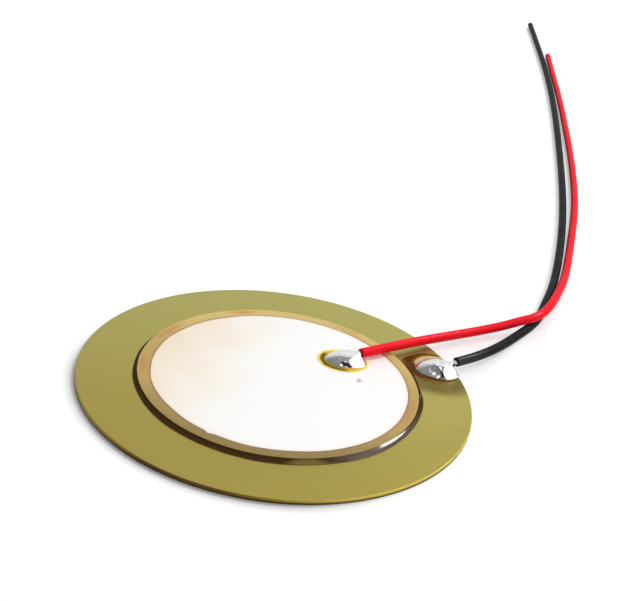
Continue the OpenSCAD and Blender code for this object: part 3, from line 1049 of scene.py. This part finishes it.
# Where each film is burnt, and on the black one painted in shade too: an azimuth, and how far
# towards it the brown begins and is full.
RED_BURNT = (220, 0.4, 1.0)
BLACK_BURNT_AND_SHADED = (250, 0, 0.6)


def colour_steps(tree, value, steps):
    """A colour that changes softly from step to step as the value rises."""
    ramp = add(tree, "ValToRGB", {0: value})
    ramp.color_ramp.interpolation = "EASE"
    stops = ramp.color_ramp.elements
    while len(stops) < len(steps):
        stops.new(0.5)
    for stop, (position, colour) in zip(stops, steps):
        stop.position = position
        stop.color = colour
    return ramp.outputs["Color"]


def oval_steps(tree, place, spot, half_sizes, steps):
    """Colour steps that follow an oval with a slightly wavering outline."""
    distance = off_centre(tree, place, millimetres(*spot), half_sizes[0] * MM, half_sizes[1] * MM)
    wobble = maths(tree, "SUBTRACT", noise(tree, place, 0.9 * MM, 3), 0.5)
    wavering = maths(tree, "ADD", distance, maths(tree, "MULTIPLY", wobble, 0.12))
    return colour_steps(tree, wavering, steps)


def flux_finish(name, film, spot, scorched_and_shaded_side, plain, dark):
    """Flux whose colour follows one oval, and a darker one towards one side: scorched flux, and on
    the black film painted shade too.
    """
    material, tree, shader, place = new_finish(name)
    azimuth, begins, full = scorched_and_shaded_side
    edge = millimetres(*spot).dot(outwards(azimuth))
    scorched_and_shaded = between(tree, towards(tree, place, azimuth), edge + begins * MM, edge + full * MM)
    colour = mix(tree, scorched_and_shaded, oval_steps(tree, place, *plain), oval_steps(tree, place, *dark))
    plug(tree, colour, shader.inputs["Base Color"])
    roughen(tree, shader, noise(tree, place, 0.3 * MM), 0.3, 0.5)
    coat_gloss(tree, shader, 0.15, 0.12)
    bump(tree, shader, noise(tree, place, 0.5 * MM), 0.03 * MM, 0.3)
    dress(material, film)


# Middle and half sizes of an oval, and the colours from its middle out to its outline at 1.
RED_PLAIN = (RED_FLUX, RED_FLUX_SIZES, (
    (0.72, FLUX_AMBER), (0.86, FLUX_YELLOW), (0.97, FLUX_PALE), (1, SILVER_WHITE)))
RED_DARK = (RED_FLUX, RED_FLUX_SIZES, (
    (0.68, FLUX_OLIVE), (0.77, FLUX_BROWN), (0.85, FLUX_BROWN), (0.91, FLUX_YELLOW),
    (0.97, FLUX_PALE), (1, SILVER_WHITE)))
# The cream band at the back of the black film is a painted reflection.
BLACK_PLAIN = ((14.3, 7.2), (2.36, 2.26), (
    (0.5, FLUX_HONEY), (0.7, FLUX_PAINTED_REFLECTION), (0.8, FLUX_PAINTED_REFLECTION), (0.87, FLUX_BROWN), (1, FLUX_DARK_AND_SHADE)))
# In front of the black joint these dark colours are painted shade as well as scorched flux, and
# they run out into the brass's painted shadow.
BLACK_DARK_AND_SHADED = (BLACK_FLUX, BLACK_FLUX_SIZES, (
    (0.7, FLUX_DARK_AND_SHADE), (0.82, FLUX_DARK_AND_SHADE), (0.92, FLUX_BROWN), (1, BRASS_JOINT_SHADOW)))
flux_finish("amber_flux", red_flux, RED_FLUX, RED_BURNT, RED_PLAIN, RED_DARK)
flux_finish("brown_flux", black_flux, BLACK_FLUX, BLACK_BURNT_AND_SHADED, BLACK_PLAIN, BLACK_DARK_AND_SHADED)

# %% [markdown]
# ## The table
#
# The disc lies on a smooth white table, so close around it there is nothing but white, its own
# narrow shadow, and a faint mirror image of whatever stands low over the table. The floor is one
# wide plane with a little gloss. It gives off a little light of its own to the camera and to
# mirror-like surfaces, which lifts it to plain white without putting more light on the disc.
# It leaves this out beside the disc on the side away from the lamps, so the shadow stays there.

# %% Table
FLOOR_SIZE = 12
FLOOR_GAP = 0.01 * MM
FLOOR_COLOUR = (0.65, 0.65, 0.65, 1)
FLOOR_ROUGHNESS = 0.18
FLOOR_LIFT = 0.37
WHITE = (1, 1, 1, 1)
SHADE_AZIMUTH = 235
SHADE_ENDS = 19 * MM


def seen_directly(tree):
    """1 for rays from the camera, a mirror or a glass, and 0 for the rays that light things."""
    path = add(tree, "LightPath", {}).outputs
    seen = maths(tree, "MAXIMUM", path["Is Camera Ray"], path["Is Glossy Ray"])
    return maths(tree, "MAXIMUM", seen, path["Is Transmission Ray"])


bpy.ops.mesh.primitive_plane_add(size=FLOOR_SIZE, location=(0, 0, -FLOOR_GAP))
table = bpy.context.object
table.name = "table"

table_white, tree, shader, place = new_finish("table_white")
shader.inputs["Base Color"].default_value = FLOOR_COLOUR
shader.inputs["Roughness"].default_value = FLOOR_ROUGHNESS
shader.inputs["Emission Color"].default_value = WHITE
shaded = between(tree, off_centre(tree, place, (0, 0)), SHADE_ENDS, plate_r)
shaded_side = between(tree, towards(tree, place, SHADE_AZIMUTH), 4 * MM, 14 * MM)
unshaded = maths(tree, "SUBTRACT", 1, maths(tree, "MULTIPLY", shaded, shaded_side))
lift = maths(tree, "MULTIPLY", unshaded, FLOOR_LIFT)
plug(tree, maths(tree, "MULTIPLY", seen_directly(tree), lift), shader.inputs["Emission Strength"])
dress(table_white, table)

# %% [markdown]
# ## The studio light
#
# A photographer's white room lights the disc: an even dim sky, a broad bright patch of it at the
# back, which the brass mirrors towards the camera, and a faint one overhead. A wide soft lamp at
# the right gives most of the light, and a small strong one like a window puts highlights on the
# epoxy and the PVC. The sky stays dim to the left and the front, and that is what gives the
# solder its grey domes beside white flanks.

# %% Studio light
SKY_DIM = 0.22
BACK_GLOW = (0.1, 0.9, 0.42)
BACK_GLOW_STRENGTH = 0.7
BACK_GLOW_EDGES = (62, 28)
TOP_GLOW = (0.2, 0.2, 1)
TOP_GLOW_STRENGTH = 0.12
TOP_GLOW_EDGES = (70, 20)
LAMP_DISTANCE = 1.15
# Azimuth and height above the table in degrees, two sizes in metres and watts of each lamp.
SOFTBOX = (-6, 47, 1.95, 1.3, 10.8)
WINDOW = (44, 41, 0.25, 0.25, 4.5)

world = bpy.data.worlds.new("studio")
scene.world = world
world.use_nodes = True
tree = world.node_tree
background = tree.nodes["Background"]
toward = add(tree, "TexCoord", {}).outputs["Generated"]


def glow(middle, strength, edges):
    """A soft round patch of sky. It ends and is full at two angles from its middle."""
    facing = along(tree, toward, Vector(middle).normalized())
    ends, full = (math.cos(math.radians(angle)) for angle in edges)
    return between(tree, facing, ends, full, 0, strength)


sky = maths(tree, "ADD", glow(BACK_GLOW, BACK_GLOW_STRENGTH, BACK_GLOW_EDGES), SKY_DIM)
sky = maths(tree, "ADD", sky, glow(TOP_GLOW, TOP_GLOW_STRENGTH, TOP_GLOW_EDGES))
plug(tree, sky, background.inputs["Strength"])
background.inputs["Color"].default_value = WHITE


def add_lamp(name, azimuth, height, width, tall, power):
    """A rectangular lamp that faces the disc from a direction."""
    light = bpy.data.lights.new(name, "AREA")
    light.shape = "RECTANGLE"
    light.size = width
    light.size_y = tall
    light.energy = power
    lamp = bpy.data.objects.new(name, light)
    direction = outwards(azimuth) * math.cos(math.radians(height))
    direction.z = math.sin(math.radians(height))
    lamp.location = direction * LAMP_DISTANCE
    lamp.rotation_euler = direction.to_track_quat("Z", "Y").to_euler()
    lamp.visible_camera = False
    scene.collection.objects.link(lamp)
    print(name, power, "W")


add_lamp("softbox", *SOFTBOX)
add_lamp("window", *WINDOW)

scene.view_settings.view_transform = "Standard"
